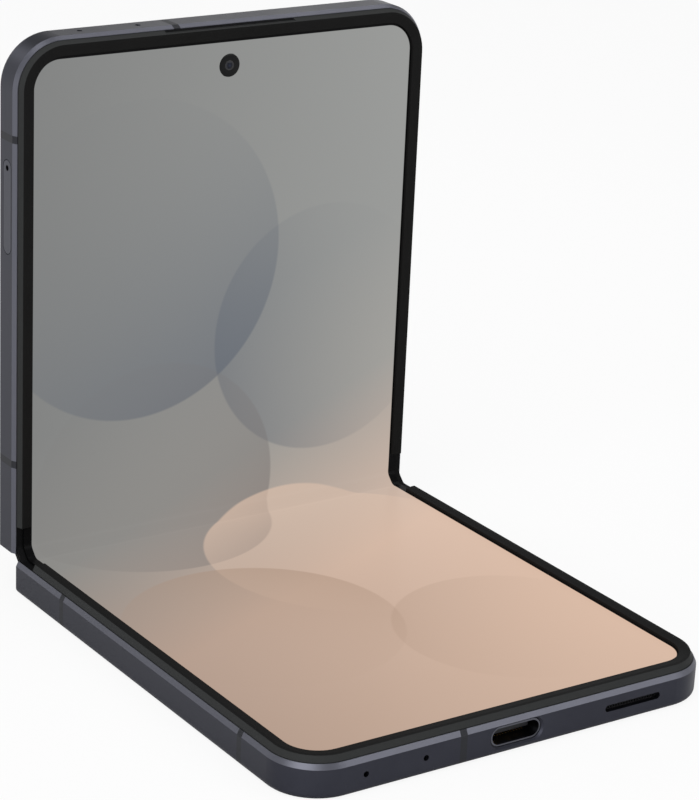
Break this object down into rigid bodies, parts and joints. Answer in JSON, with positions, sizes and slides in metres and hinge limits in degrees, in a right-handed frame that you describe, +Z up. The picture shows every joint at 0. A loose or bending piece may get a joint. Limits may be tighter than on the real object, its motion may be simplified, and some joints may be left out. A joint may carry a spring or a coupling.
{
  "type": "foldable smartphone",
  "caption": "Clamshell folding phone, half open: two slim metal halves with raised bezels, one display bent across a geared hinge, ports, side keys and card tray.",
  "frame": {"origin": "middle of the lower half's rear face, which lies flat on the table", "axes": "+X along the hinge, +Y from the lower half's free end towards the fold, +Z up; the upper half stands at the back"},
  "size_m": [0.0755, 0.0906, 0.0896],
  "materials": {
    "frame_metal": "satin",
    "key_metal": "satin",
    "insert_plastic": "satin",
    "rear_glass": "matt",
    "cover_glass": "gloss",
    "bezel_plastic": "matt",
    "display": "gloss",
    "steel_plate": "satin",
    "bright_steel": "satin",
    "gear_steel": "satin",
    "spine_metal": "satin",
    "cell_wrap": "satin",
    "copper": "satin",
    "circuit_board": "satin",
    "black_plastic": "matt",
    "flex_film": "satin",
    "seal_rubber": "matt",
    "lens_glass": "gloss",
    "lamp_lens": "gloss",
    "screen_black": "gloss",
    "ring_metal": "satin",
    "card_plastic": "matt"
  },
  "bodies": {
    "lower_half": {"lower_frame": "frame_metal", "lower_antenna_inserts": "insert_plastic", "lower_rear_cover": "rear_glass", "lower_bezel": "bezel_plastic", "lower_display_plate": "steel_plate", "lower_display": "display", "lower_battery": "cell_wrap", "lower_microphones": "bright_steel", "lower_hinge_arms": "steel_plate", "lower_screws": "bright_steel", "charging_coil": "copper", "sub_board": "circuit_board", "usb_shell": "bright_steel", "usb_tongue": "black_plastic", "loudspeaker": "black_plastic", "speaker_mesh": "black_plastic", "vibration_motor": "bright_steel"},
    "hinge_spine": {"spine_cover": "spine_metal", "hinge_blocks": "steel_plate", "hinge_end_caps": "black_plastic", "block_screws": "bright_steel", "friction_springs": "bright_steel", "hinge_flex": "flex_film", "display_fold_lower": "display", "display_fold_upper": "display", "fold_seal_lower": "seal_rubber", "fold_seal_upper": "seal_rubber"},
    "lower_pinion_gears": {"lower_pinions": "gear_steel"},
    "lower_idler_gears": {"lower_idlers": "gear_steel"},
    "upper_idler_gears": {"upper_idlers": "gear_steel"},
    "upper_pinion_gears": {"upper_pinions": "gear_steel"},
    "upper_half": {"upper_frame": "frame_metal", "upper_antenna_inserts": "insert_plastic", "upper_rear_cover": "cover_glass", "cover_screen": "screen_black", "camera_rings": "ring_metal", "camera_lenses": "lens_glass", "main_camera": "black_plastic", "wide_camera": "black_plastic", "flash_lamp": "lamp_lens", "front_camera": "black_plastic", "earpiece": "black_plastic", "earpiece_mesh": "black_plastic", "main_board": "circuit_board", "shield_can": "bright_steel", "upper_battery": "cell_wrap", "heat_spreader": "copper", "sim_reader": "bright_steel", "key_switches": "bright_steel", "upper_microphones": "bright_steel", "upper_bezel": "bezel_plastic", "upper_display_plate": "steel_plate", "upper_display": "display", "upper_hinge_arms": "steel_plate", "upper_screws": "bright_steel"},
    "card_tray": {"sim_tray": "key_metal", "sim_card": "card_plastic"},
    "power_button": {"power_key": "key_metal"},
    "volume_button": {"volume_rocker": "key_metal"}
  },
  "joints": [
    {"name": "fold_lower", "type": "hinge", "parent": "lower_half", "child": "hinge_spine", "pos_m": [0, 0.04063, 0.0058], "axis": [1, 0, 0], "range_deg": [-45, 45], "deforming": ["display_fold_lower", "fold_seal_lower", "hinge_flex"]},
    {"name": "fold_upper", "type": "hinge", "parent": "hinge_spine", "child": "upper_half", "pos_m": [0, 0.04211, 0.00728], "axis": [1, 0, 0], "range_deg": [-45, 45], "deforming": ["display_fold_upper", "fold_seal_upper"]},
    {"name": "lower_pinion_spin", "type": "hinge", "parent": "hinge_spine", "child": "lower_pinion_gears", "pos_m": [0, 0.04111, 0.00399], "axis": [1, 0, 0], "range_deg": [-123.75, 123.75]},
    {"name": "lower_idler_spin", "type": "hinge", "parent": "hinge_spine", "child": "lower_idler_gears", "pos_m": [0, 0.04211, 0.00474], "axis": [1, 0, 0], "range_deg": [-82.5, 82.5]},
    {"name": "upper_idler_spin", "type": "hinge", "parent": "hinge_spine", "child": "upper_idler_gears", "pos_m": [0, 0.04317, 0.0058], "axis": [1, 0, 0], "range_deg": [-82.5, 82.5]},
    {"name": "upper_pinion_spin", "type": "hinge", "parent": "hinge_spine", "child": "upper_pinion_gears", "pos_m": [0, 0.04392, 0.0068], "axis": [1, 0, 0], "range_deg": [-123.75, 123.75]},
    {"name": "card_tray_slide", "type": "slide", "parent": "upper_half", "child": "card_tray", "axis": [-1, 0, 0], "range_m": [0, 0.02]},
    {"name": "power_press", "type": "slide", "parent": "upper_half", "child": "power_button", "axis": [-1, 0, 0], "range_m": [0, 0.00025], "stiffness_N_per_m": 600},
    {"name": "volume_tilt", "type": "hinge", "parent": "upper_half", "child": "volume_button", "pos_m": [0.03555, 0.04491, 0.06423], "axis": [0, -1, 0], "range_deg": [-0.9, 0.9], "stiffness_Nm_per_rad": 0.3}
  ],
  "couplings": [
    {"joint": "fold_upper", "follows": "fold_lower", "ratio": 1},
    {"joint": "lower_pinion_spin", "follows": "fold_lower", "ratio": 2.75},
    {"joint": "lower_idler_spin", "follows": "fold_lower", "ratio": -1.8333},
    {"joint": "upper_idler_spin", "follows": "fold_lower", "ratio": 1.8333},
    {"joint": "upper_pinion_spin", "follows": "fold_lower", "ratio": -2.75}
  ]
}
